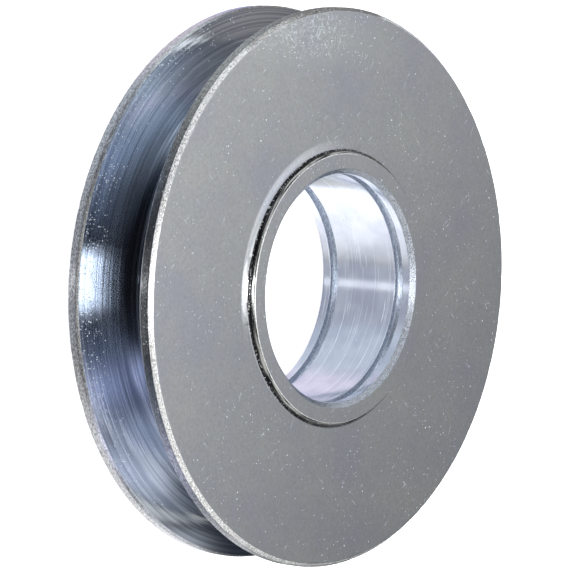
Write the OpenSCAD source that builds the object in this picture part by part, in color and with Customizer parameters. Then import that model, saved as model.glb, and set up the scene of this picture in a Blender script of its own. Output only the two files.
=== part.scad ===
/* [Rim] */
// Outside diameter over the two flanges
outer_d = 90; // [76:0.5:140]
// Width of the flat land on top of each flange
land_w = 1.5; // [0.8:0.1:5]
// Chamfer between each land and the face of its flange
rim_chamfer = 0.6; // [0.2:0.1:1.2]

/* [Belt groove] */
// Width between the flanks, measured at the outside diameter
groove_top_w = 12.8; // [10.5:0.1:18]
// Angle enclosed by the two flanks, in degrees
groove_angle = 28; // [16:1:40]
// Depth of the groove's floor below the outside diameter
groove_depth = 11.2; // [7:0.1:13.5]
// Fillet where each flank runs into the floor
root_fillet = 0.8; // [0.3:0.1:1.5]
// Edge break where each flank meets its land
groove_edge = 0.3; // [0.1:0.05:0.6]

/* [Boss] */
// Height of the raised boss above the face of each flange
boss_h = 1; // [0.7:0.1:4]
// Width of the flat ring on the end of the boss
boss_face_w = 2.35; // [1.2:0.05:6]
// Chamfer around the end of the boss
boss_chamfer = 0.4; // [0.1:0.05:0.5]
// Fillet around the foot of the boss
foot_fillet = 0.6; // [0.2:0.1:2]

/* [Bearing bore] */
// Diameter of the bearing seat
bore_d = 37; // [30:0.5:44]
// Width of the bearing that the seat takes
bearing_w = 12; // [8:0.5:14]
// Axial play left between the bearing and the retaining rings
seat_play = 0.1; // [0:0.05:0.4]
// Width of each retaining-ring groove
ring_groove_w = 1.6; // [1:0.05:2]
// Depth of each retaining-ring groove below the seat
ring_groove_depth = 1; // [0.5:0.1:1.6]
// Lead-in chamfer at each end of the bore
bore_chamfer = 0.75; // [0.3:0.05:0.9]

/* [Hidden] */

// Smoothness of the round of the wheel and of its small fillets
$fn = 160;
fillet_fn = 32;

// How far a cutting profile runs past the surface that it cuts
overcut = 1;

// Finish of the zinc-plated steel
zinc_grey = [0.66, 0.67, 0.69];

// Rim and boss
rim_r = outer_d / 2;
rim_w = groove_top_w + 2 * (groove_edge + land_w + rim_chamfer);
hub_w = rim_w + 2 * boss_h;

// Bore, with its seat between the two ring grooves
bore_r = bore_d / 2;
seat_w = bearing_w + seat_play;
mouth_r = bore_r + bore_chamfer;
ring_groove_r = bore_r + ring_groove_depth;

// The boss is built outwards from the mouth of the bore
boss_r = mouth_r + boss_face_w + boss_chamfer;
foot_r = min(foot_fillet, boss_h - boss_chamfer);

// Groove, with each flank leaning outwards by half of the enclosed angle
flank_lean = groove_angle / 2;
floor_r = rim_r - groove_depth;
floor_half_w = groove_top_w / 2 - groove_depth * tan(flank_lean);
edge_half_w = groove_top_w / 2 - groove_edge * tan(flank_lean);
mouth_half_w = groove_top_w / 2 + groove_edge;

// Distance from the floor's corner to where the root fillet leaves the floor
root_reach = root_fillet / tan((90 + flank_lean) / 2);

// All profiles lie in the half plane of the axis: first the radius, then the height

// Disc of half section, with both outer corners chamfered
module chamfered_disc(r, w, chamfer) {
    polygon([
        [0, -w / 2],
        [r - chamfer, -w / 2],
        [r, -w / 2 + chamfer],
        [r, w / 2 - chamfer],
        [r - chamfer, w / 2],
        [0, w / 2]
    ]);
}

// Children repeated on the upper and on the lower side of the wheel
module both_sides() {
    children();
    mirror([0, 1]) children();
}

// Concave fillet that fills the corner between the boss and the flange's face
module foot_fillet_profile() {
    translate([boss_r, rim_w / 2])
        difference() {
            square(foot_r);
            translate([foot_r, foot_r]) circle(foot_r, $fn = fillet_fn);
        }
}

// Concave fillet that fills the corner between a flank and the groove's floor
module root_fillet_profile() {
    centre = [floor_r + root_fillet, floor_half_w - root_reach];
    on_floor = [floor_r, floor_half_w - root_reach];
    on_flank = [floor_r + root_reach * cos(flank_lean), floor_half_w + root_reach * sin(flank_lean)];
    difference() {
        polygon([[floor_r, floor_half_w], on_floor, centre, on_flank]);
        translate(centre) circle(root_fillet, $fn = fillet_fn);
    }
}

// Space that the belt runs in: floor, leaning flanks and broken edges
module groove_profile() {
    difference() {
        polygon([
            [floor_r, -floor_half_w],
            [rim_r - groove_edge, -edge_half_w],
            [rim_r, -mouth_half_w],
            [rim_r + overcut, -mouth_half_w],
            [rim_r + overcut, mouth_half_w],
            [rim_r, mouth_half_w],
            [rim_r - groove_edge, edge_half_w],
            [floor_r, floor_half_w]
        ]);
        both_sides() root_fillet_profile();
    }
}

// Bored space: the seat, one retaining-ring groove and one lead-in chamfer at each end
module bore_profile() {
    translate([0, -hub_w / 2 - overcut]) square([bore_r, hub_w + 2 * overcut]);
    both_sides() {
        translate([0, seat_w / 2]) square([ring_groove_r, ring_groove_w]);
        polygon([
            [0, hub_w / 2 - bore_chamfer],
            [bore_r, hub_w / 2 - bore_chamfer],
            [mouth_r + overcut, hub_w / 2 + overcut],
            [0, hub_w / 2 + overcut]
        ]);
    }
}

// The wheel, turned from one piece of bar
module pulley_wheel() {
    color(zinc_grey)
        rotate_extrude()
            difference() {
                union() {
                    chamfered_disc(rim_r, rim_w, rim_chamfer);
                    chamfered_disc(boss_r, hub_w, boss_chamfer);
                    both_sides() foot_fillet_profile();
                }
                groove_profile();
                bore_profile();
            }
}

pulley_wheel();
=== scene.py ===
import math

import bpy
import numpy as np
from bpy.props import FloatProperty, FloatVectorProperty, IntProperty, PointerProperty
from mathutils import Matrix, Vector


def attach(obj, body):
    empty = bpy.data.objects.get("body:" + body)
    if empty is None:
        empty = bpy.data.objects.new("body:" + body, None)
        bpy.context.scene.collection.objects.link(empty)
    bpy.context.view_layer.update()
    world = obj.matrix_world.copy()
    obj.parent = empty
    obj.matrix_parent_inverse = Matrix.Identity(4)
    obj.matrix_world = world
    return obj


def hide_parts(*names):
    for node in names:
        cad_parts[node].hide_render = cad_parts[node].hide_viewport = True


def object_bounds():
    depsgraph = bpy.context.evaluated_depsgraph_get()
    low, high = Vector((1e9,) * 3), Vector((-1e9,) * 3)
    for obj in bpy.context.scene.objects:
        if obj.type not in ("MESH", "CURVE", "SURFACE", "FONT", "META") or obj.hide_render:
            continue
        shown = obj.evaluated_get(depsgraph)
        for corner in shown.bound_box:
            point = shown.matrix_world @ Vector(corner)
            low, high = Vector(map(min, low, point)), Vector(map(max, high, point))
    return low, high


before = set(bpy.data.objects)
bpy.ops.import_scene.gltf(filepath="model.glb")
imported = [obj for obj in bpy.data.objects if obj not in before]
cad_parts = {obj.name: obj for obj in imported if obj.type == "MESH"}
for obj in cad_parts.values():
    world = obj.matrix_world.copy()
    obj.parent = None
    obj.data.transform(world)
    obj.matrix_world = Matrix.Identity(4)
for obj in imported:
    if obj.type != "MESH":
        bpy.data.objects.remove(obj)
CAD_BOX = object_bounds()

bl_info = {
    "name": "Turned Pulley Wheel",
    "version": (1, 0, 0),
    "blender": (4, 5, 0),
    "location": "View3D > Sidebar > Pulley",
    "description": "A zinc-plated pulley wheel, turned from one piece, and the studio that shows it",
    "category": "Add Mesh",
}

MM = 0.001
NODE = "pulley_wheel"
BODY = "root"

# Finishes of the wheel, in the order of its mesh's material slots
FACE, EDGE, LAND, GROOVE, BORE, BOSS, RING, MOUTH = range(8)


def linear(hex_colour):
    """sRGB hex such as "#b9bcc1" to linear red, green and blue."""
    srgb = np.array([int(hex_colour[i:i + 2], 16) for i in (1, 3, 5)]) / 255.0
    return tuple(np.where(srgb <= 0.04045, srgb / 12.92, ((srgb + 0.055) / 1.055) ** 2.4))


def length(name, description, millimetres):
    """A size of the wheel or the studio, given in millimetres and kept in metres."""
    return FloatProperty(
        name=name, description=description, default=millimetres * MM, unit="LENGTH", precision=5
    )


def tint(name, description, hex_colour):
    """A colour of a finish, given in sRGB hex."""
    return FloatVectorProperty(
        name=name, description=description, default=linear(hex_colour), size=3, subtype="COLOR", min=0, max=1
    )


class WheelSizes(bpy.types.PropertyGroup):
    outer_d: length("Outside diameter", "Over the two flanges", (CAD_BOX[1].x - CAD_BOX[0].x) / MM)
    hub_w: length("Hub width", "Over the ends of the two bosses", (CAD_BOX[1].z - CAD_BOX[0].z) / MM)
    boss_h: length("Boss height", "Above the face of each flange", 1.0)
    boss_face_w: length("Boss face", "Width of the flat ring on the end of the boss", 2.35)
    boss_chamfer: length("Boss chamfer", "Around the end of the boss", 0.4)
    foot_fillet: length("Foot fillet", "Around the foot of the boss", 0.55)
    rim_chamfer: length("Rim chamfer", "Between each land and the face of its flange", 0.6)
    land_w: length("Land", "Flat on top of each flange", 1.5)
    groove_edge: length("Groove edge", "Edge break where each flank meets its land", 0.3)
    groove_depth: length("Groove depth", "Below the outside diameter", 11.2)
    groove_angle: FloatProperty(
        name="Groove angle",
        description="Enclosed by the two flanks",
        default=math.radians(28),
        subtype="ANGLE",
    )
    root_fillet: length("Root fillet", "Where each flank runs into the floor", 0.8)
    bore_d: length("Bore", "Diameter of the bearing seat", 37.0)
    bore_chamfer: length("Bore chamfer", "Lead-in at each end of the bore", 0.75)
    seat_w: length("Seat", "Between the two ring grooves", 12.1)
    ring_groove_w: length("Ring groove width", "For one retaining ring", 1.6)
    ring_groove_depth: length("Ring groove depth", "Below the seat", 1.0)
    edge_round: length("Edge round", "Radius that plating and handling leave on every edge", 0.08)
    mark_depth: length("Turning marks", "Height of the tool's ridges on the flanks", 0.0015)
    nick_depth: length("Nicks", "Depth of the dents along the rim's edges", 0.05)
    turns: IntProperty(
        name="Steps round", description="Steps of the mesh round the axis", default=336, min=64
    )


class ZincColours(bpy.types.PropertyGroup):
    grey: tint("Grey", "Zinc of the faces", "#b6b8b8")
    lavender: tint("Lavender", "Clouds of the passivation on the faces", "#acaeb8")
    blue: tint("Blue", "Ridges of the turned flanks", "#e2e7ee")
    steel: tint("Steel", "Valleys of the turned flanks", "#b8bfca")
    pale: tint("Pale", "Zinc of the bored seat", "#e3e8ee")
    bright: tint("Bright", "Zinc of the edges, rubbed bright", "#eeeeee")
    dull: tint("Dull", "Zinc of the lands, handled and greyed", "#e4e5e3")
    dark: tint("Dark", "Blotches on the lands and edges", "#9c9d9a")
    # Also the colour of the painted shade deep in the groove, on the side towards -Y
    soot_and_shade: tint("Soot", "Dark blotches of the bore's mouths", "#58595b")
    cloud: tint("Cloud", "Clouds of the passivation in the bored seat", "#d4d9e2")
    # Painted shade: near black in the corner at the foot of the boss, and mottled over the boss's wall and
    # chamfer
    foot_shade: tint("Foot_shade", "Residue in the corner at the foot of the boss", "#1d1d1f")


class StudioSizes(bpy.types.PropertyGroup):
    floor_r: length("Floor radius", "Flat part of the floor", 1500)
    sweep_r: length("Sweep radius", "Curve that carries the floor up into the backdrop", 900)
    sweep_h: length("Backdrop height", "Straight part above the curve", 600)
    floor: tint("Floor", "Paper of the floor and backdrop", "#f4f4f4")
    lens: FloatProperty(
        name="Lens", description="Focal length on a 36 mm sensor", default=231.66, unit="CAMERA"
    )
    distance: length("Camera distance", "From the centre of the wheel, along the view", 594.4)


def rounded_path(corners, radii, steps):
    """Open path with each inner corner rounded: the arc of the given radius that touches both sides.
    Its centre lies on the corner's bisector at radius / sin(half angle), and its points are the centre
    plus the radius turned evenly from one touching point to the other."""
    here, before, after = corners[1:-1], corners[:-2], corners[2:]
    to_before = (before - here) / np.linalg.norm(before - here, axis=1, keepdims=True)
    to_after = (after - here) / np.linalg.norm(after - here, axis=1, keepdims=True)
    half = np.arccos(np.clip((to_before * to_after).sum(1), -1, 1)) / 2
    bisector = to_before + to_after
    bisector /= np.linalg.norm(bisector, axis=1, keepdims=True)
    centre = here + bisector * (radii / np.sin(half))[:, None]
    start = here + to_before * (radii / np.tan(half))[:, None] - centre
    end = here + to_after * (radii / np.tan(half))[:, None] - centre
    first = np.arctan2(start[:, 1], start[:, 0])
    sweep = np.arctan2(start[:, 0] * end[:, 1] - start[:, 1] * end[:, 0], (start * end).sum(1))
    angle = first[:, None] + sweep[:, None] * np.linspace(0, 1, steps)
    arcs = centre[:, None] + radii[:, None, None] * np.stack([np.cos(angle), np.sin(angle)], -1)
    return np.concatenate([corners[:1], arcs.reshape(-1, 2), corners[-1:]])


def wheel_profile(size):
    """Closed half section of the wheel as radius and height, its length run along the profile and the
    finish of each stretch. The upper half runs from the middle of the groove's floor over the flange,
    the boss and the ring groove to the middle of the seat, and the lower half is its mirror image."""
    rim_r = size.outer_d / 2
    top = size.hub_w / 2
    face = top - size.boss_h
    land_out = face - size.rim_chamfer
    land_in = land_out - size.land_w
    lean = math.tan(size.groove_angle / 2)
    floor_r = rim_r - size.groove_depth
    mouth_half = land_in - size.groove_edge
    floor_half = mouth_half - size.groove_depth * lean
    bore_r = size.bore_d / 2
    mouth_r = bore_r + size.bore_chamfer
    boss_in = mouth_r + size.boss_face_w
    boss_r = boss_in + size.boss_chamfer
    ring_r = bore_r + size.ring_groove_depth
    seat = size.seat_w / 2
    ring_out = seat + size.ring_groove_w
    soft, fine = size.edge_round, size.edge_round / 2
    lip = 1.2 * size.edge_round
    # Radius and height of each corner, the round on it, and the finish of the stretch that follows it
    corners = [
        (floor_r, 0, 0, GROOVE),
        (floor_r, floor_half, size.root_fillet, GROOVE),
        (rim_r - size.groove_edge, mouth_half - size.groove_edge * lean, fine, EDGE),
        (rim_r, land_in, fine, LAND),
        (rim_r, land_out, soft, EDGE),
        (rim_r - size.rim_chamfer, face, soft, FACE),
        (boss_r, face, size.foot_fillet, BOSS),
        (boss_r, top - size.boss_chamfer, fine, BOSS),
        (boss_in + lip, top - 0.9 * lip, fine / 2, EDGE),
        (boss_in, top, fine, FACE),
        (mouth_r, top, soft, MOUTH),
        (bore_r, top - size.bore_chamfer, soft, BORE),
        (bore_r, ring_out, fine, RING),
        (ring_r, ring_out, fine, RING),
        (ring_r, seat, fine, RING),
        (bore_r, seat, fine, BORE),
        (bore_r, 0, 0, BORE),
    ]
    points = np.array([c[:2] for c in corners])
    steps = 4
    path = rounded_path(points, np.array([c[2] for c in corners[1:-1]]), steps)
    run = np.concatenate([[0], np.cumsum(np.linalg.norm(np.diff(path, axis=0), axis=1))])
    # Where each rounded corner starts and ends, as length run, and so where each straight stretch does
    begin, end = run[1:-1].reshape(-1, steps)[:, 0], run[1:-1].reshape(-1, steps)[:, -1]
    straight = np.stack([np.append(0, end), np.append(begin, run[-1])], -1)
    # More rings: two beside each round, so that flats stay flat, and even ones over the flank and the face
    beside = np.array([1.5, 4.0]) * size.edge_round
    roomy = straight[straight[:, 1] - straight[:, 0] > 3 * beside[1]]
    flank, face_run = straight[1], straight[5]
    stations = np.concatenate([
        run,
        (roomy[:, :1] + beside).ravel(),
        (roomy[:, 1:] - beside).ravel(),
        np.linspace(flank[0] + beside[1], flank[1] - beside[1], 40),
        np.linspace(face_run[0] + beside[1], face_run[1] - beside[1], 12),
    ])
    stations = np.unique(np.round(stations, 9))
    upper = np.stack([np.interp(stations, run, path[:, i]) for i in (0, 1)], -1)
    starts = np.append(0, (begin + end) / 2)
    between = (stations[1:] + stations[:-1]) / 2
    finish = np.array([c[3] for c in corners[:-1]])[np.searchsorted(starts, between) - 1]
    on_flank = np.interp(stations, [flank[0], *(flank + [beside[1], -beside[1]]), flank[1]], [0, 1, 1, 0])
    on_rim_edge = 1.0 * (stations > begin[3] - 1e-7) * (stations < end[4] + 1e-7)
    # The lower half follows the upper one backwards and ends where the upper one began
    lower = upper[-2::-1] * [1, -1]
    whole = 2 * stations[-1]
    return {
        "points": np.concatenate([upper, lower]),
        "run": np.concatenate([stations, whole - stations[-2::-1]]),
        "finish": np.concatenate([finish, finish[::-1]]),
        "marks": np.concatenate([on_flank, on_flank[-2::-1]]),
        "nicks": np.concatenate([on_rim_edge, on_rim_edge[-2::-1]]),
    }


def turning_marks(run, angle, rng):
    """Height of the tool's ridges, -1 to 1: many sines along the profile with pitches from 0.7 to 2.2 mm,
    each winding round the axis once or not at all, so that the ridges drift like a feed spiral."""
    pitch = rng.uniform(0.7 * MM, 2.2 * MM, 28)
    phase = rng.uniform(0, 2 * math.pi, 28)
    winds = rng.integers(0, 2, 28)
    waves = 2 * math.pi * run[:, None] / pitch + phase
    swing = winds[:, None] * angle
    # sin(a + b) summed over the waves, as two matrix products
    total = np.sin(waves) @ np.cos(swing) + np.cos(waves) @ np.sin(swing)
    return total / math.sqrt(14)


def dents(angle, rng):
    """Depth of the dents along an edge, 0 to 1: a sum of cosines round the axis, of which only the
    peaks are kept."""
    rounds = rng.integers(9, 130, 40)
    phase = rng.uniform(0, 2 * math.pi, 40)
    total = np.cos(rounds[:, None] * angle + phase[:, None]).sum(0) / math.sqrt(20)
    return np.clip(total - 0.4, 0, 1.6) / 1.6


def wheel_mesh(size):
    """The closed half section carried once round the axis: each profile point (r, z) becomes the ring
    (r cos a, r sin a, z). Ridges and dents move a point along the profile's own normal."""
    profile = wheel_profile(size)
    points = profile["points"]
    rng = np.random.default_rng(7)
    rings, turns = len(points) - 1, size.turns
    angle = np.arange(turns) * (2 * math.pi / turns)
    ahead, behind = np.roll(points[:-1], -1, 0), np.roll(points[:-1], 1, 0)
    along = (ahead - behind) / np.linalg.norm(ahead - behind, axis=1, keepdims=True)
    normal = np.stack([along[:, 1], -along[:, 0]], -1)
    height = profile["marks"][:-1, None] * turning_marks(profile["run"][:-1], angle, rng) * size.mark_depth
    upper_half = (points[:-1, 1] > 0)[:, None]
    nick = np.where(upper_half, dents(angle, rng), dents(angle, rng))
    height = height - profile["nicks"][:-1, None] * nick * size.nick_depth
    section = points[:-1, None] + normal[:, None] * height[..., None]
    spot = np.stack(
        [section[..., 0] * np.cos(angle), section[..., 0] * np.sin(angle), section[..., 1]], -1
    ).reshape(-1, 3)
    ring, turn = np.meshgrid(np.arange(rings), np.arange(turns), indexing="ij")
    next_ring, next_turn = (ring + 1) % rings, (turn + 1) % turns
    near, far = ring * turns, next_ring * turns
    quads = np.stack([near + turn, near + next_turn, far + next_turn, far + turn], -1).reshape(-1, 4)
    mesh = bpy.data.meshes.new(NODE)
    mesh.from_pydata(spot, [], quads)
    # U is the turn round the axis and V the length run along the profile, as a share of the whole
    share = profile["run"] / profile["run"][-1]
    u = np.stack([turn, turn + 1, turn + 1, turn], -1) / turns
    v = np.stack([share[ring], share[ring], share[ring + 1], share[ring + 1]], -1)
    layer = mesh.uv_layers.new(name="turned")
    layer.uv.foreach_set("vector", np.stack([u, v], -1).astype(np.float32).ravel())
    mesh.polygons.foreach_set("material_index", np.repeat(profile["finish"], turns).astype(np.int32))
    mesh.shade_smooth()
    mesh.update()
    return mesh, profile["run"][-1]


def feed(tree, node, inputs):
    """Gives each named input of a node a value or a link from a socket."""
    for key, value in inputs.items():
        if isinstance(value, bpy.types.NodeSocket):
            tree.links.new(value, node.inputs[key])
        else:
            node.inputs[key].default_value = value


def add(tree, kind, inputs=None, **settings):
    """Adds a node, sets its settings, and feeds its inputs."""
    node = tree.nodes.new(kind)
    for key, value in settings.items():
        setattr(node, key, value)
    feed(tree, node, inputs or {})
    return node


def new_metal(name, roughness, anisotropy=0.0):
    """Material with a bare metal shader whose grain follows the turning, and its object coordinates
    in millimetres."""
    material = bpy.data.materials.new(name)
    material.use_nodes = True
    tree = material.node_tree
    tree.nodes.clear()
    shader = add(tree, "ShaderNodeBsdfPrincipled", {"Metallic": 1.0, "Roughness": roughness})
    output = add(tree, "ShaderNodeOutputMaterial")
    tree.links.new(shader.outputs["BSDF"], output.inputs["Surface"])
    if anisotropy:
        grain = add(tree, "ShaderNodeTangent", direction_type="UV_MAP", uv_map="turned")
        tree.links.new(grain.outputs["Tangent"], shader.inputs["Tangent"])
        shader.inputs["Anisotropic"].default_value = anisotropy
        shader.inputs["Anisotropic Rotation"].default_value = 0.25
    where = add(tree, "ShaderNodeTexCoord")
    spot = add(
        tree, "ShaderNodeVectorMath", {0: where.outputs["Object"], "Scale": 1 / MM}, operation="SCALE"
    )
    return material, tree, shader, spot.outputs["Vector"]


def from_axis(tree, spot):
    """Distance from the axis in millimetres, and direction away from it."""
    flat = add(tree, "ShaderNodeVectorMath", {0: spot, 1: (1, 1, 0)}, operation="MULTIPLY").outputs["Vector"]
    radius = add(tree, "ShaderNodeVectorMath", {0: flat}, operation="LENGTH").outputs["Value"]
    towards = add(tree, "ShaderNodeVectorMath", {0: flat}, operation="NORMALIZE").outputs["Vector"]
    return radius, towards


def ring_coordinates(tree, spot, profile_length, pitch_mm, along_mm):
    """Coordinates for marks that run round the axis: the point's direction from the axis, scaled so that
    a mark is about along_mm long at the rim, with the length run along the profile, in pitches, as the
    third axis."""
    towards = from_axis(tree, spot)[1]
    rim_mm = CAD_BOX[1].x / MM
    spread = add(
        tree, "ShaderNodeVectorMath", {0: towards, "Scale": rim_mm / along_mm}, operation="SCALE"
    ).outputs["Vector"]
    turned = add(tree, "ShaderNodeUVMap", uv_map="turned").outputs["UV"]
    pitches = profile_length / MM / pitch_mm
    stretch = add(tree, "ShaderNodeVectorMath", {0: turned, 1: (0, pitches, 0)}, operation="MULTIPLY")
    split = add(tree, "ShaderNodeSeparateXYZ", {0: stretch.outputs["Vector"]})
    upright = add(tree, "ShaderNodeCombineXYZ", {"Z": split.outputs["Y"]}).outputs["Vector"]
    both = add(tree, "ShaderNodeVectorMath", {0: spread, 1: upright}, operation="ADD")
    return both.outputs["Vector"]


def whiten(tree, look, mark, rise):
    """Lays a matt white mark on the metal: on nodules it is a painted glint, on frost and scratches their own
    white. The look is the shade, the share of bare metal and the relief so far: the mark is white, takes the
    metal's place, and stands up by its rise in mm."""
    shade, metal, relief = look
    white = (0.78, 0.90, 1.0, 1)
    shade = add(tree, "ShaderNodeMix", {"Factor": mark, 6: shade, 7: white}, data_type="RGBA").outputs[2]
    metal = add(tree, "ShaderNodeMath", {0: metal, 1: mark}, operation="SUBTRACT").outputs[0]
    relief = add(tree, "ShaderNodeMath", {0: mark, 1: rise, 2: relief}, operation="MULTIPLY_ADD").outputs[0]
    return shade, metal, relief


def nodules(tree, spot, look, spacing, radius, rise, share):
    """Zinc nodules, as domes at the centres of a share of the cells of a cell pattern, some bright and some
    faint: the domes are relief, and their white is a painted glint. Spacing, radius and height are in mm."""
    cells = add(tree, "ShaderNodeTexVoronoi", {"Vector": spot, "Scale": 1 / spacing})
    dome = add(
        tree,
        "ShaderNodeMapRange",
        {"Value": cells.outputs["Distance"], "From Max": radius / spacing, "To Min": 1.0, "To Max": 0.0},
        interpolation_type="SMOOTHSTEP",
    ).outputs["Result"]
    lot = add(tree, "ShaderNodeSeparateColor", {"Color": cells.outputs["Color"]})
    chosen = add(tree, "ShaderNodeMath", {0: lot.outputs["Red"], 1: share}, operation="LESS_THAN").outputs[0]
    depth = add(tree, "ShaderNodeMapRange", {"Value": lot.outputs["Green"], "To Min": 0.3}).outputs["Result"]
    chosen = add(tree, "ShaderNodeMath", {0: depth, 1: chosen}, operation="MULTIPLY").outputs[0]
    speck = add(tree, "ShaderNodeMath", {0: dome, 1: chosen}, operation="MULTIPLY").outputs[0]
    return whiten(tree, look, speck, rise)


def hairlines(tree, rings, look, level, strength):
    """Fine scratches that run round the axis: the peaks, above a level, of a noise drawn out round it."""
    noise = add(tree, "ShaderNodeTexNoise", {"Vector": rings, "Scale": 1.0, "Detail": 0}).outputs["Fac"]
    line = add(
        tree,
        "ShaderNodeMapRange",
        {"Value": noise, "From Min": level, "From Max": level + 0.08, "To Max": strength},
    ).outputs["Result"]
    return whiten(tree, look, line, 0.0)


def paint_foot_shade(tree, spot, shade, colour, foot):
    """Painted shade in the corner at the foot of each boss: full within 0.2 mm of the corner's circle, whose
    radius and height are given in mm, none past 0.4 mm, and broken by a fine noise."""
    radius = from_axis(tree, spot)[0]
    height = add(tree, "ShaderNodeSeparateXYZ", {0: spot}).outputs["Z"]
    height = add(tree, "ShaderNodeMath", {0: height}, operation="ABSOLUTE").outputs[0]
    section = add(tree, "ShaderNodeCombineXYZ", {"X": radius, "Y": height}).outputs["Vector"]
    reach = add(
        tree, "ShaderNodeVectorMath", {0: section, 1: (*foot, 0)}, operation="DISTANCE"
    ).outputs["Value"]
    near = add(
        tree,
        "ShaderNodeMapRange",
        {"Value": reach, "From Min": 0.4, "From Max": 0.2},
        interpolation_type="SMOOTHSTEP",
    ).outputs["Result"]
    noise = add(tree, "ShaderNodeTexNoise", {"Vector": spot, "Scale": 1 / 0.35, "Detail": 2}).outputs["Fac"]
    broken = add(
        tree, "ShaderNodeMapRange", {"Value": noise, "From Min": 0.36, "From Max": 0.46}
    ).outputs["Result"]
    share = add(tree, "ShaderNodeMath", {0: near, 1: broken}, operation="MULTIPLY").outputs[0]
    return add(
        tree, "ShaderNodeMix", {"Factor": share, 6: shade, 7: (*colour, 1)}, data_type="RGBA"
    ).outputs[2]


def finish_metal(tree, shader, look):
    """Gives the shader its colour, its share of bare metal, and its relief, in millimetres, as a bump."""
    shade, metal, relief = look
    bump = add(tree, "ShaderNodeBump", {"Height": relief, "Distance": MM, "Strength": 1.0}).outputs["Normal"]
    feed(tree, shader, {"Base Color": shade, "Metallic": metal, "Normal": bump})


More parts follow.
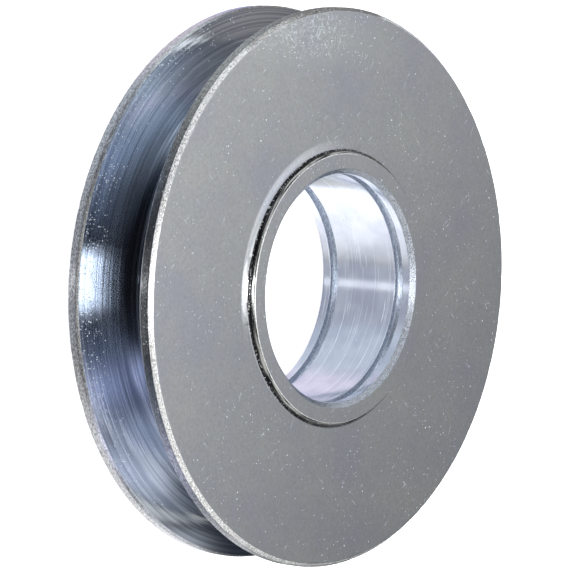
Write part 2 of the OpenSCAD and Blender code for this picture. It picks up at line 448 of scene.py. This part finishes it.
def satin_zinc(colours, foot):
    """Bright zinc plate on a faced surface: satin grey with faint lavender clouds of passivation, a fine
    grain, raised specks whose white is a painted glint, a frosted patch near the rim, hairline scratches from
    handling, and painted shade in the corner at the foot of the boss, whose radius and height are given in
    mm."""
    material, tree, shader, spot = new_metal("satin_zinc_plate", 0.25)
    clouds = add(
        tree, "ShaderNodeTexNoise", {"Vector": spot, "Scale": 1 / 12, "Detail": 6, "Roughness": 0.65}
    )
    patchy = add(
        tree, "ShaderNodeMapRange", {"Value": clouds.outputs["Fac"], "From Min": 0.35, "From Max": 0.65}
    )
    shade = add(
        tree,
        "ShaderNodeMix",
        {"Factor": patchy.outputs["Result"], 6: (*colours.grey, 1), 7: (*colours.lavender, 1)},
        data_type="RGBA",
    ).outputs[2]
    grain = add(tree, "ShaderNodeTexNoise", {"Vector": spot, "Scale": 1 / 0.45, "Detail": 3}).outputs["Fac"]
    dusky = add(
        tree, "ShaderNodeMapRange", {"Value": grain, "From Min": 0.4, "From Max": 0.75, "To Max": 0.45}
    ).outputs["Result"]
    shade = add(
        tree, "ShaderNodeMix", {"Factor": dusky, 6: shade, 7: (*colours.dark, 1)}, data_type="RGBA"
    ).outputs[2]
    relief = add(tree, "ShaderNodeMath", {0: grain, 1: 0.005}, operation="MULTIPLY").outputs[0]
    # Specks, whose white is a painted glint, come in drifts, and crowd in a rubbed patch near the rim
    drifts = add(tree, "ShaderNodeTexNoise", {"Vector": spot, "Scale": 1 / 9, "Detail": 2}).outputs["Fac"]
    crowd = add(
        tree,
        "ShaderNodeMapRange",
        {"Value": drifts, "From Min": 0.4, "From Max": 0.7, "To Min": 0.06, "To Max": 0.5},
    ).outputs["Result"]
    patch = add(
        tree, "ShaderNodeVectorMath", {0: spot, 1: (1, 0.35, 0)}, operation="MULTIPLY"
    ).outputs["Vector"]
    reach = add(
        tree, "ShaderNodeVectorMath", {0: patch, 1: (-41, -4, 0)}, operation="DISTANCE"
    ).outputs["Value"]
    rubbed = add(
        tree,
        "ShaderNodeMapRange",
        {"Value": reach, "From Min": 8, "From Max": 0, "To Max": 0.4},
        interpolation_type="SMOOTHSTEP",
    ).outputs["Result"]
    share = add(tree, "ShaderNodeMath", {0: crowd, 1: rubbed}, operation="ADD").outputs[0]
    look = nodules(tree, spot, (shade, 1.0, relief), 1.1, 0.19, 0.04, share)
    look = nodules(tree, spot, look, 0.5, 0.12, 0.02, share)
    look = nodules(tree, spot, look, 0.4, 0.14, 0.02, rubbed)
    frost = add(
        tree, "ShaderNodeMapRange", {"Value": grain, "From Min": 0.45, "From Max": 0.8}
    ).outputs["Result"]
    frost = add(tree, "ShaderNodeMath", {0: frost, 1: rubbed}, operation="MULTIPLY").outputs[0]
    look = whiten(tree, look, frost, 0.0)
    # Hairline scratches as cells drawn out into lines: direction, length, spacing and height in mm, share,
    # and whiteness
    for turn, long, wide, depth, part, white in (
        (0.5, 40, 0.4, -0.006, 0.5, 0.0),
        (1.9, 40, 0.4, -0.006, 0.4, 0.0),
        (2.3, 7, 0.7, 0.01, 0.05, 0.4),
        (2.8, 12, 0.8, 0.01, 0.04, 0.3),
        (0.9, 9, 0.8, 0.01, 0.03, 0.3),
    ):
        drawn = add(
            tree,
            "ShaderNodeMapping",
            {"Vector": spot, "Rotation": (0, 0, turn), "Scale": (long, wide, 1)},
            vector_type="TEXTURE",
        )
        cells = add(
            tree, "ShaderNodeTexVoronoi", {"Vector": drawn.outputs[0], "Scale": 1.0}, voronoi_dimensions="2D"
        )
        line = add(
            tree,
            "ShaderNodeMapRange",
            {"Value": cells.outputs["Distance"], "From Max": 0.13, "To Min": 1.0, "To Max": 0.0},
            interpolation_type="SMOOTHSTEP",
        ).outputs["Result"]
        lot = add(tree, "ShaderNodeSeparateColor", {"Color": cells.outputs["Color"]}).outputs["Red"]
        chosen = add(tree, "ShaderNodeMath", {0: lot, 1: part}, operation="LESS_THAN").outputs[0]
        line = add(tree, "ShaderNodeMath", {0: line, 1: chosen}, operation="MULTIPLY").outputs[0]
        if white:
            line = add(tree, "ShaderNodeMath", {0: line, 1: white}, operation="MULTIPLY").outputs[0]
            look = whiten(tree, look, line, depth)
        else:
            deep = add(tree, "ShaderNodeMath", {0: line, 1: depth, 2: look[2]}, operation="MULTIPLY_ADD")
            look = *look[:2], deep.outputs[0]
    shade, metal, relief = look
    # A relief that rises towards the foot of the boss on one side only. It makes the crescent and the flash
    # of light there, and stands for no shape that is known of the wheel
    radius, towards = from_axis(tree, spot)
    close = add(
        tree, "ShaderNodeMapRange", {"Value": radius, "From Min": foot[0] + 1.8, "From Max": foot[0] + 0.2}
    ).outputs["Result"]
    dish = add(tree, "ShaderNodeMath", {0: close, 1: 1.5}, operation="POWER").outputs[0]
    outside = add(tree, "ShaderNodeMath", {0: radius, 1: foot[0] - 0.3}, operation="GREATER_THAN").outputs[0]
    dish = add(tree, "ShaderNodeMath", {0: dish, 1: outside}, operation="MULTIPLY").outputs[0]
    # It is low and broad on one side, and steep in a short stretch: direction, cosines between which it
    # grows, and height in mm
    for direction, start, full, height in (
        ((-0.64, -0.77, 0), 0.5, 0.9, 0.5),
        ((0.02, -1, 0), 0.972, 0.997, 0.85),
    ):
        side = add(
            tree, "ShaderNodeVectorMath", {0: towards, 1: direction}, operation="DOT_PRODUCT"
        ).outputs["Value"]
        tall = add(
            tree, "ShaderNodeMapRange", {"Value": side, "From Min": start, "From Max": full, "To Max": height}
        ).outputs["Result"]
        relief = add(
            tree, "ShaderNodeMath", {0: dish, 1: tall, 2: relief}, operation="MULTIPLY_ADD"
        ).outputs[0]
    # Painted shade in the corner at the foot of the boss
    shade = paint_foot_shade(tree, spot, shade, colours.foot_shade, foot)
    finish_metal(tree, shader, (shade, metal, relief))
    return material


def turned_zinc(
    name,
    colours,
    roughness,
    profile_length,
    blotches,
    lines=(),
    specks=(),
    scratches=(),
    anisotropy=0.0,
    foot_shade=None,
    root=None,
):
    """Zinc plate over a turned surface. Blotches of two colours mottle it: their width and their length
    round the rim, in mm. Each set of lines is a relief that runs round the axis: its pitch, its length
    round the rim, its height and the radius of the wheel past which it calms down, all in mm. Each set of
    specks is made of nodules: spacing, radius, height, share, and the radius from which they fade in.
    Each set of scratches has a pitch and length in mm, and a level and strength. Anisotropy draws the light
    out across the lines. Foot shade is the colour and place of painted shade at the boss's foot. Root is the
    colour and radius of painted shade deep in the groove, only on the side towards -Y; the specks beside it,
    painted glints, keep to that side too."""
    material, tree, shader, spot = new_metal(name, roughness, anisotropy)
    rings = ring_coordinates(tree, spot, profile_length, *blotches)
    noise = add(tree, "ShaderNodeTexNoise", {"Vector": rings, "Scale": 1.0, "Detail": 2}).outputs["Fac"]
    mottled = add(
        tree, "ShaderNodeMapRange", {"Value": noise, "From Min": 0.4, "From Max": 0.6}
    ).outputs["Result"]
    shade = add(
        tree, "ShaderNodeMix", {"Factor": mottled, 6: (*colours[0], 1), 7: (*colours[1], 1)}, data_type="RGBA"
    ).outputs[2]
    radius, towards = from_axis(tree, spot)
    side = add(
        tree, "ShaderNodeVectorMath", {0: towards, 1: (-0.2, -0.98, 0)}, operation="DOT_PRODUCT"
    ).outputs["Value"]
    # Painted shade deep in the groove: darkest at the root, and only on the side towards -Y
    if root:
        deep = add(
            tree,
            "ShaderNodeMapRange",
            {"Value": radius, "From Min": root[1] + 4, "From Max": root[1], "To Max": 0.6},
        ).outputs["Result"]
        near = add(
            tree, "ShaderNodeMapRange", {"Value": side, "From Min": 0.85, "From Max": 0.97}
        ).outputs["Result"]
        deep = add(tree, "ShaderNodeMath", {0: deep, 1: near}, operation="MULTIPLY").outputs[0]
        shade = add(
            tree, "ShaderNodeMix", {"Factor": deep, 6: shade, 7: (*root[0], 1)}, data_type="RGBA"
        ).outputs[2]
    relief = 0.0
    for pitch, along, height, calm in lines:
        rings = ring_coordinates(tree, spot, profile_length, pitch, along)
        ridge = add(tree, "ShaderNodeTexNoise", {"Vector": rings, "Scale": 1.0, "Detail": 1}).outputs["Fac"]
        low = 0.3 * height
        tall = add(
            tree,
            "ShaderNodeMapRange",
            {"Value": radius, "From Min": calm - 2, "From Max": calm, "To Min": height, "To Max": low},
        ).outputs["Result"]
        relief = add(
            tree, "ShaderNodeMath", {0: ridge, 1: tall, 2: relief}, operation="MULTIPLY_ADD"
        ).outputs[0]
    look = shade, 1.0, relief
    for spacing, wide, rise, share, inner in specks:
        part = add(
            tree,
            "ShaderNodeMapRange",
            {"Value": radius, "From Min": inner, "From Max": inner + 4, "To Max": share},
        ).outputs["Result"]
        # The specks' white is painted glint, so they keep to the side towards -Y along with the painted shade
        if root:
            near = add(
                tree, "ShaderNodeMapRange", {"Value": side, "From Min": 0.3, "From Max": 0.8}
            ).outputs["Result"]
            part = add(tree, "ShaderNodeMath", {0: part, 1: near}, operation="MULTIPLY").outputs[0]
        look = nodules(tree, spot, look, spacing, wide, rise, part)
    for pitch, along, level, strength in scratches:
        rings = ring_coordinates(tree, spot, profile_length, pitch, along)
        look = hairlines(tree, rings, look, level, strength)
    # Painted shade in the corner at the foot of the boss
    if foot_shade:
        look = paint_foot_shade(tree, spot, look[0], *foot_shade), *look[1:]
    finish_metal(tree, shader, look)
    return material


class PULLEY_OT_wheel(bpy.types.Operator):
    """Turns the wheel and gives each of its surfaces its finish"""

    bl_idname = "pulley.wheel"
    bl_label = "Pulley Wheel"

    def execute(self, context):
        size, colours = context.scene.wheel_sizes, context.scene.zinc_colours
        mesh, run = wheel_mesh(size)
        boss_r = size.bore_d / 2 + size.bore_chamfer + size.boss_face_w + size.boss_chamfer
        foot = ((boss_r + 0.1 * MM) / MM, (size.hub_w / 2 - size.boss_h + 0.1 * MM) / MM)
        # Nodules whose white is a painted glint
        grit_and_glints = (0.45, 0.13, 0.03, 0.35, 10)
        finishes = {
            FACE: satin_zinc(colours, foot),
            EDGE: turned_zinc(
                "tumbled_zinc_edge",
                (colours.bright, colours.dark),
                0.38,
                run,
                (0.15, 0.25),
                specks=[(0.4, 0.16, 0.03, 0.6, 10)],
            ),
            LAND: turned_zinc(
                "turned_zinc_land",
                (colours.dull, colours.dark),
                0.25,
                run,
                (0.15, 0.4),
                [(0.3, 4, 0.004, 99)],
                [grit_and_glints],
                anisotropy=0.4,
            ),
            GROOVE: turned_zinc(
                "turned_zinc_flank",
                (colours.blue, colours.steel),
                0.07,
                run,
                (0.32, 60),
                [(0.35, 50, 0.016, 43), (0.9, 60, 0.005, 43), (0.6, 55, 0.016, 44.5)],
                [(0.36, 0.16, 0.015, 0.5, 39.5)],
                anisotropy=1.0,
                # Painted shade deep in the groove, on the side towards -Y
                root=(colours.soot_and_shade, 35),
            ),
            BORE: turned_zinc(
                "bored_zinc_seat",
                (colours.pale, colours.cloud),
                0.2,
                run,
                (5, 12),
                [(0.2, 40, 0.0015, 99)],
                [(0.9, 0.12, 0.01, 0.3, 10)],
                [(0.18, 22, 0.69, 0.42), (0.14, 60, 0.7, 0.38)],
                0.7,
            ),
            # The boss's wall and chamfer are mottled from dark grey to near black: painted shade that carries
            # on from the foot's corner
            BOSS: turned_zinc(
                "turned_zinc_boss",
                (colours.dark, colours.foot_shade),
                0.2,
                run,
                (0.3, 9),
                [(0.15, 10, 0.003, 99)],
                [grit_and_glints],
                foot_shade=(colours.foot_shade, foot),
            ),
            RING: turned_zinc(
                "turned_zinc_ring_groove", (colours.blue, colours.steel), 0.3, run, (0.25, 1), specks=[grit_and_glints]
            ),
            MOUTH: turned_zinc(
                "turned_zinc_mouth", (colours.steel, colours.soot_and_shade), 0.3, run, (0.15, 0.3), specks=[grit_and_glints]
            ),
        }
        for number in sorted(finishes):
            mesh.materials.append(finishes[number])
        wheel = bpy.data.objects.new("wheel", mesh)
        context.scene.collection.objects.link(wheel)
        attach(wheel, BODY)
        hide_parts(NODE)
        return {"FINISHED"}


# The camera of the photograph: how far the wheel's axis is turned to the right of the view and tipped down,
# and where the view's centre lies from the wheel's centre, across the view to the right and down, in metres
AXIS_TURN = math.radians(50.40)
AXIS_TIP = math.radians(3.74)
VIEW_RIGHT = 0.00168
VIEW_DOWN = -0.00006


def camera_axes():
    """Right, down and forward of the camera as directions of the wheel's frame. In the camera's own frame the
    axis points (sin turn cos tip, sin tip, -cos turn cos tip); the wheel's X is the view's downward direction
    with its share along the axis taken out, and its Y completes the right-handed frame."""
    level = math.cos(AXIS_TIP)
    axis = np.array([math.sin(AXIS_TURN) * level, math.sin(AXIS_TIP), -math.cos(AXIS_TURN) * level])
    down = np.array([0.0, 1.0, 0.0]) - axis * axis[1]
    down /= np.linalg.norm(down)
    across = np.cross(axis, down)
    return np.stack([down, across, axis]).T


def soft_light(scene, name, lean, reach, aside, across, along, brightness, colour="#ffffff"):
    """Area light leaning from straight above the wheel towards the camera's side, and shifted aside along X.
    Its power is brightness times pi times its area, so that the metal mirrors it at that brightness."""
    towards = Vector((0, -math.sin(math.radians(lean)), math.cos(math.radians(lean))))
    lamp = bpy.data.lights.new(name, "AREA")
    lamp.shape = "RECTANGLE"
    lamp.size, lamp.size_y = across, along
    lamp.color = linear(colour)
    lamp.energy = brightness * math.pi * across * along
    light = bpy.data.objects.new(name, lamp)
    # Its own X runs along the wheel's X, and its -Z faces the wheel
    place = towards * reach + Vector((aside, 0, 0))
    light.matrix_world = Matrix.Translation(place) @ Matrix.Rotation(math.radians(lean), 4, "X")
    scene.collection.objects.link(light)
    return light


def hidden_panel(scene, mesh, glow):
    """Stage object that only the metal mirrors: a black surface that glows with a colour for each point of
    its mesh, and puts no light on anything else."""
    layer = mesh.attributes.new("glow", "FLOAT_COLOR", "POINT")
    layer.data.foreach_set("color", glow.astype(np.float32).ravel())
    material = bpy.data.materials.new(mesh.name)
    material.use_nodes = True
    tree = material.node_tree
    shader = tree.nodes["Principled BSDF"]
    shader.inputs["Base Color"].default_value = (0, 0, 0, 1)
    shader.inputs["Specular IOR Level"].default_value = 0.0
    shine = add(tree, "ShaderNodeAttribute", attribute_name="glow").outputs["Color"]
    feed(tree, shader, {"Emission Color": shine, "Emission Strength": 1.0})
    mesh.materials.append(material)
    panel = bpy.data.objects.new(mesh.name, mesh)
    panel.visible_camera = False
    panel.visible_diffuse = False
    panel.visible_shadow = False
    scene.collection.objects.link(panel)
    return panel


def card(scene, name, corners, colour, glow):
    """Flat card with four corners, each with its own brightness."""
    mesh = bpy.data.meshes.new(name)
    mesh.from_pydata(corners, [], [(0, 1, 2, 3)])
    return hidden_panel(scene, mesh, np.outer(glow, (*linear(colour), 1.0)))


def fill_card(scene, towards, reach, half):
    """Square card square to a direction from the wheel. Its glow falls evenly, from full in the corner
    towards -X and the axis to almost none in the opposite one, so that the faces mirror a soft fall of
    light."""
    middle = Vector(towards).normalized()
    side = Vector((1, 0, 0)) - middle * middle.x
    side.normalize()
    out = middle.cross(side)
    u, v = (axis.ravel() for axis in np.meshgrid([-1.0, 0.0, 1.0], [-1.0, 0.0, 1.0], indexing="ij"))
    spot = np.array(middle) * reach + half * (u[:, None] * np.array(side) + v[:, None] * np.array(out))
    mesh = bpy.data.meshes.new("fill_card")
    mesh.from_pydata(spot, [], [(0, 3, 4, 1), (1, 4, 5, 2), (3, 6, 7, 4), (4, 7, 8, 5)])
    glow = np.clip(0.562 - 0.44 * u - 1.06 * v, 0.03, None)
    return hidden_panel(scene, mesh, np.outer(glow, (0.985, 1.0, 1.0, 1.0)))


def ring_card(scene, radius):
    """Band around the rim that only the metal mirrors. Its grid runs over the angle from -Y towards +X
    and over the height. Its glow is a dark ground plus soft patches, each its brightness times
    exp(-u^2 - v^2), with u and v the distance from its middle in spreads of angle and height. It is open
    where the key light comes in."""
    angle = np.arange(-104, 105, 1.0)
    height = np.arange(-9, 13, 0.25)
    # Middle and spread of each patch, as degrees and millimetres, and its red, green and blue
    patches = np.array([
        (-92, 0, 18, 30, 0.26, 0.25, 0.24),
        (-74, 0, 9, 4, 0.16, 0.17, 0.19),
        (-60, -4, 13, 7, 0.78, 0.86, 0.92),
        (-40, -1, 12, 3.5, 0.58, 0.66, 0.82),
        (-48, 6, 18, 4, 0.30, 0.31, 0.30),
        (-68, 11, 10, 2.5, 0.80, 0.80, 0.80),
        (-24, 2, 8, 3, 0.13, 0.16, 0.22),
        (4, -3.6, 30, 0.6, 0.80, 0.80, 0.80),
        (24, 3, 8, 4, 0.12, 0.14, 0.19),
        (36, -6, 8, 5, 0.88, 0.88, 1.10),
        (40, 2, 10, 7, 0.56, 0.58, 0.78),
        (60, -2, 10, 7, 0.86, 0.88, 0.98),
        (73, -3, 8, 8, 0.86, 0.87, 0.90),
        (83, 3.5, 6, 4, 0.20, 0.21, 0.22),
    ])
    a, z = np.meshgrid(angle, height, indexing="ij")
    u = (a[..., None] - patches[:, 0]) / patches[:, 2]
    v = (z[..., None] - patches[:, 1]) / patches[:, 3]
    glow = (0.030, 0.034, 0.046) + np.exp(-u ** 2 - v ** 2) @ patches[:, 4:]
    glow = np.concatenate([glow, np.ones_like(a)[..., None]], -1)
    turn = np.radians(a)
    spot = np.stack([radius * np.sin(turn), -radius * np.cos(turn), z * MM], -1).reshape(-1, 3)
    i, j = np.meshgrid(np.arange(len(angle) - 1), np.arange(len(height) - 1), indexing="ij")
    middle_a, middle_z = angle[i] + 0.5, height[j] + 0.125
    # The opening's ends are ragged from row to row, and most pairs of the higher rows are shut
    rng = np.random.default_rng(11)
    first, last = rng.normal(-9, 1.6, len(height)), rng.normal(13, 3.0, len(height))
    lot = rng.uniform(0, 1, len(height))[np.arange(len(height)) // 2]
    shut = lot < np.interp(height, [4.5, 5.5], [0.08, 0.6])
    for_streak = (middle_a > first[j]) & (middle_a < last[j]) & (middle_z > -1.5) & ~shut[j]
    above_rim = (middle_a > -60) & (middle_z > 8.4)
    i, j = i[~(for_streak | above_rim)], j[~(for_streak | above_rim)]
    rows = len(height)
    quads = np.stack([i * rows + j, (i + 1) * rows + j, (i + 1) * rows + j + 1, i * rows + j + 1], -1)
    mesh = bpy.data.meshes.new("ring_card")
    mesh.from_pydata(spot, [], quads)
    return hidden_panel(scene, mesh, glow)


def studio_world(scene):
    """Grey room whose walls are told apart by direction: cool towards -X, dark on the camera's side, and
    pale below."""
    world = bpy.data.worlds.new("studio")
    world.use_nodes = True
    tree = world.node_tree
    where = add(tree, "ShaderNodeTexCoord").outputs["Generated"]
    room = (0.66, 0.66, 0.65, 1)
    # Direction that a wall lies in, the cosines at which it starts and is full, and its brightness
    walls = (
        ((-1, 0, 0), 0.2, 0.7, (0.40, 0.44, 0.52, 1)),
        ((-0.82, 0, 0.57), 0.75, 0.92, (1.15, 1.20, 1.30, 1)),
        ((0.82, 0, 0.57), 0.75, 0.92, (1.30, 1.30, 1.30, 1)),
        ((-0.75, 0, -0.66), 0.6, 0.85, (0.62, 0.67, 0.78, 1)),
        ((-0.60, 0.45, -0.66), 0.88, 0.97, (0.88, 0.82, 0.98, 1)),
        ((0, -0.77, -0.64), 0.8, 0.95, (0.47, 0.49, 0.57, 1)),
        ((-0.15, -0.90, 0.41), 0.68, 0.82, (0.05, 0.06, 0.09, 1)),
        ((0, 0.77, -0.64), 0.85, 0.97, (0.42, 0.44, 0.80, 1)),
        ((0.49, 0.88, 0.14), 0.64, 0.87, (0.20, 0.21, 0.22, 1)),
        ((-0.42, 0.30, 0.84), 0.64, 0.87, (1.02, 1.06, 1.12, 1)),
    )
    for towards, start, full, brightness in walls:
        near = add(
            tree, "ShaderNodeVectorMath", {0: where, 1: towards}, operation="DOT_PRODUCT"
        ).outputs["Value"]
        share = add(
            tree,
            "ShaderNodeMapRange",
            {"Value": near, "From Min": start, "From Max": full},
            interpolation_type="SMOOTHSTEP",
        ).outputs["Result"]
        room = add(
            tree, "ShaderNodeMix", {"Factor": share, 6: room, 7: brightness}, data_type="RGBA"
        ).outputs[2]
    # A bright band in front, as a cone about a tilted axis, that the chamfer of the rim mirrors
    near = add(
        tree, "ShaderNodeVectorMath", {0: where, 1: (0, 0.45, 0.89)}, operation="DOT_PRODUCT"
    ).outputs["Value"]
    off = add(tree, "ShaderNodeMath", {0: near, 1: 0.43}, operation="SUBTRACT").outputs[0]
    off = add(tree, "ShaderNodeMath", {0: off}, operation="ABSOLUTE").outputs[0]
    share = add(
        tree,
        "ShaderNodeMapRange",
        {"Value": off, "From Min": 0.13, "From Max": 0.07},
        interpolation_type="SMOOTHSTEP",
    ).outputs["Result"]
    band = (1.4, 1.4, 1.4, 1)
    room = add(tree, "ShaderNodeMix", {"Factor": share, 6: room, 7: band}, data_type="RGBA").outputs[2]
    tree.links.new(room, tree.nodes["Background"].inputs["Color"])
    scene.world = world


def sweep_mesh(size, floor_z):
    """Round paper sweep: a flat disc, a quarter circle up and a straight wall, carried round the axis."""
    bend = np.linspace(-math.pi / 2, 0, 24)
    wall_r = size.floor_r + size.sweep_r
    r = np.concatenate([[1e-4, 0.2], size.floor_r + size.sweep_r * np.cos(bend), [wall_r]])
    z = np.concatenate([[0, 0], size.sweep_r * (1 + np.sin(bend)), [size.sweep_r + size.sweep_h]]) + floor_z
    turns = 96
    angle = np.arange(turns) * (2 * math.pi / turns)
    spot = np.stack(
        [r[:, None] * np.cos(angle), r[:, None] * np.sin(angle), np.repeat(z[:, None], turns, 1)], -1
    ).reshape(-1, 3)
    ring, turn = np.meshgrid(np.arange(len(r) - 1), np.arange(turns), indexing="ij")
    after = (turn + 1) % turns
    quads = np.stack(
        [ring * turns + turn, (ring + 1) * turns + turn, (ring + 1) * turns + after, ring * turns + after], -1
    ).reshape(-1, 4)
    mesh = bpy.data.meshes.new("paper_sweep")
    mesh.from_pydata(spot, [], quads)
    mesh.shade_smooth()
    return mesh


class PULLEY_OT_stage(bpy.types.Operator):
    """Sets up the paper sweep, the soft lights and the camera"""

    bl_idname = "pulley.stage"
    bl_label = "Studio"

    def execute(self, context):
        scene, size = context.scene, context.scene.studio_sizes
        scene.view_settings.view_transform = "Standard"
        floor = bpy.data.objects.new("floor", sweep_mesh(size, CAD_BOX[0].z))
        paper = bpy.data.materials.new("white_paper")
        paper.use_nodes = True
        shader = paper.node_tree.nodes["Principled BSDF"]
        shader.inputs["Base Color"].default_value = (*size.floor, 1)
        shader.inputs["Roughness"].default_value = 1.0
        shader.inputs["Specular IOR Level"].default_value = 0.0
        shader.inputs["Emission Color"].default_value = (*size.floor, 1)
        shader.inputs["Emission Strength"].default_value = 0.8
        floor.data.materials.append(paper)
        floor.visible_glossy = False
        floor.visible_shadow = False
        scene.collection.objects.link(floor)
        # Cards that the metal mirrors: a ring of soft patches around the rim, a graded card for the faces,
        # a white card below for the bore, a pair of dark cards with a slit between them, and a narrow
        # bright card for the flash at the foot of the boss
        ring_card(scene, CAD_BOX[1].x + 2.5 * MM)
        fill_card(scene, (0.04, 0.77, 0.64), 0.25, 0.17)
        x = 0.0475
        corners = [(x, -0.1, -0.009), (x, 0.045, -0.009), (x, 0.045, -0.19), (x, -0.1, -0.19)]
        card(scene, "low_card", corners, "#f8f8ff", (0.4, 1.9, 1.9, 0.4))
        y, low, high = -0.075, -0.028, -0.004
        for name, near, far in (("dark_card_left", -0.025, -0.0015), ("dark_card_right", 0.0025, 0.025)):
            corners = [(near, y, low), (far, y, low), (far, y, high), (near, y, high)]
            card(scene, name, corners, "#a8aca4", (0.03, 0.03, 0.03, 0.03))
        y = -0.048
        corners = [(-0.003, y, 0.015), (0.005, y, 0.015), (0.005, y, 0.036), (-0.003, y, 0.036)]
        card(scene, "flash_card", corners, "#ffffff", (20, 20, 20, 20))
        soft_light(scene, "overhead_light", 12, 0.6, 0.04, 0.42, 0.38, 1.5)
        # The key light fades out towards its ends
        keys = (("key_core", 0.15, 5.0), ("key_halo", 0.21, 3.0), ("key_glow", 0.25, 1.5))
        for name, across, brightness in keys:
            soft_light(scene, name, 38, 0.55, 0.022, across, 0.13, brightness)
        soft_light(scene, "low_strip", 130, 0.6, 0.024, 0.06, 0.3, 0.7)
        studio_world(scene)
        right, down, forward = camera_axes()
        camera = bpy.data.objects.new("camera", bpy.data.cameras.new("camera"))
        camera.data.lens = size.lens
        camera.data.sensor_width = 36.0
        eye = -forward * size.distance - right * VIEW_RIGHT - down * VIEW_DOWN
        turn = Matrix([(right[i], -down[i], -forward[i]) for i in range(3)]).to_4x4()
        camera.matrix_world = Matrix.Translation(Vector(eye)) @ turn
        scene.collection.objects.link(camera)
        scene.camera = camera
        return {"FINISHED"}


class PULLEY_PT_sidebar(bpy.types.Panel):
    """Lists what the add-on makes and the sizes and colours it makes it with"""

    bl_label = "Pulley Wheel"
    bl_space_type = "VIEW_3D"
    bl_region_type = "UI"
    bl_category = "Pulley"

    def draw(self, context):
        for operator in OPERATORS:
            self.layout.operator(operator.bl_idname)
        for group in (context.scene.wheel_sizes, context.scene.zinc_colours, context.scene.studio_sizes):
            column = self.layout.box().column()
            for key in group.__annotations__:
                column.prop(group, key)


GROUPS = {"wheel_sizes": WheelSizes, "zinc_colours": ZincColours, "studio_sizes": StudioSizes}
OPERATORS = (PULLEY_OT_wheel, PULLEY_OT_stage)
CLASSES = (*GROUPS.values(), *OPERATORS, PULLEY_PT_sidebar)


def register():
    for item in CLASSES:
        bpy.utils.register_class(item)
    for name, group in GROUPS.items():
        setattr(bpy.types.Scene, name, PointerProperty(type=group))


def unregister():
    for name in GROUPS:
        delattr(bpy.types.Scene, name)
    for item in reversed(CLASSES):
        bpy.utils.unregister_class(item)


def main():
    register()
    bpy.ops.pulley.wheel()
    bpy.ops.pulley.stage()


if __name__ == "__main__":
    main()
